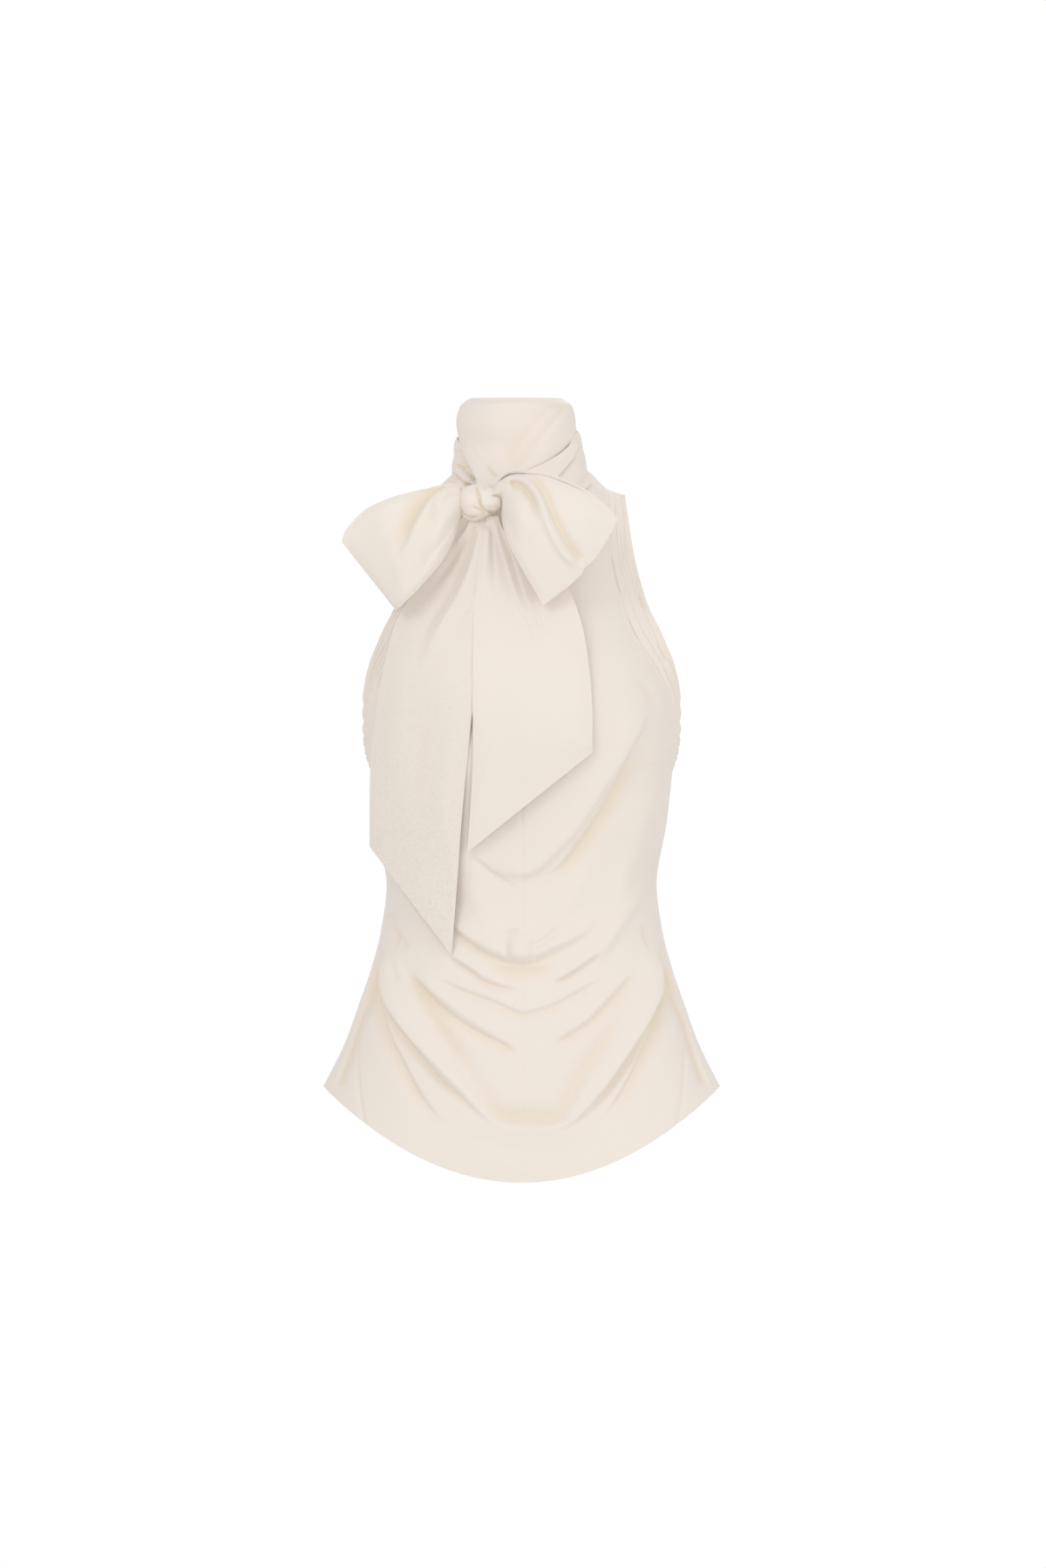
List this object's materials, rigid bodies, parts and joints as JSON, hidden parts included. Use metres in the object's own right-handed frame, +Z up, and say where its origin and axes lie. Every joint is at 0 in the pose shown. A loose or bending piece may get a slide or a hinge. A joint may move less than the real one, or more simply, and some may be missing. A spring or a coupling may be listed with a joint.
{
  "type": "blouse",
  "caption": "Sleeveless worn-shape blouse with a stand collar, a side-tied bow with long slanted tails, a draped front and a curved hem.",
  "frame": {"origin": "middle of the neck base at shoulder level, where the wearer's neck holds the blouse", "axes": "+Z up towards the collar, -Y towards the front with the bow, +X to the right of a person looking at the front"},
  "size_m": [0.3556, 0.2588, 0.7012],
  "materials": {
    "body_cloth": "ivory satin-backed crepe, soft low sheen",
    "trim_cloth": "ivory crepe, layered and topstitched",
    "tie_cloth": "ivory satin-backed crepe, satin side out"
  },
  "bodies": {
    "root": {"front_left": "body_cloth", "front_right": "body_cloth", "back": "body_cloth", "armhole_band_left": "trim_cloth", "armhole_band_right": "trim_cloth", "collar": "trim_cloth", "neck_wrap": "tie_cloth", "knot": "tie_cloth", "bow_loop_left": "tie_cloth", "bow_loop_right": "tie_cloth", "tail_left": "tie_cloth", "tail_right": "tie_cloth"}
  },
  "joints": []
}
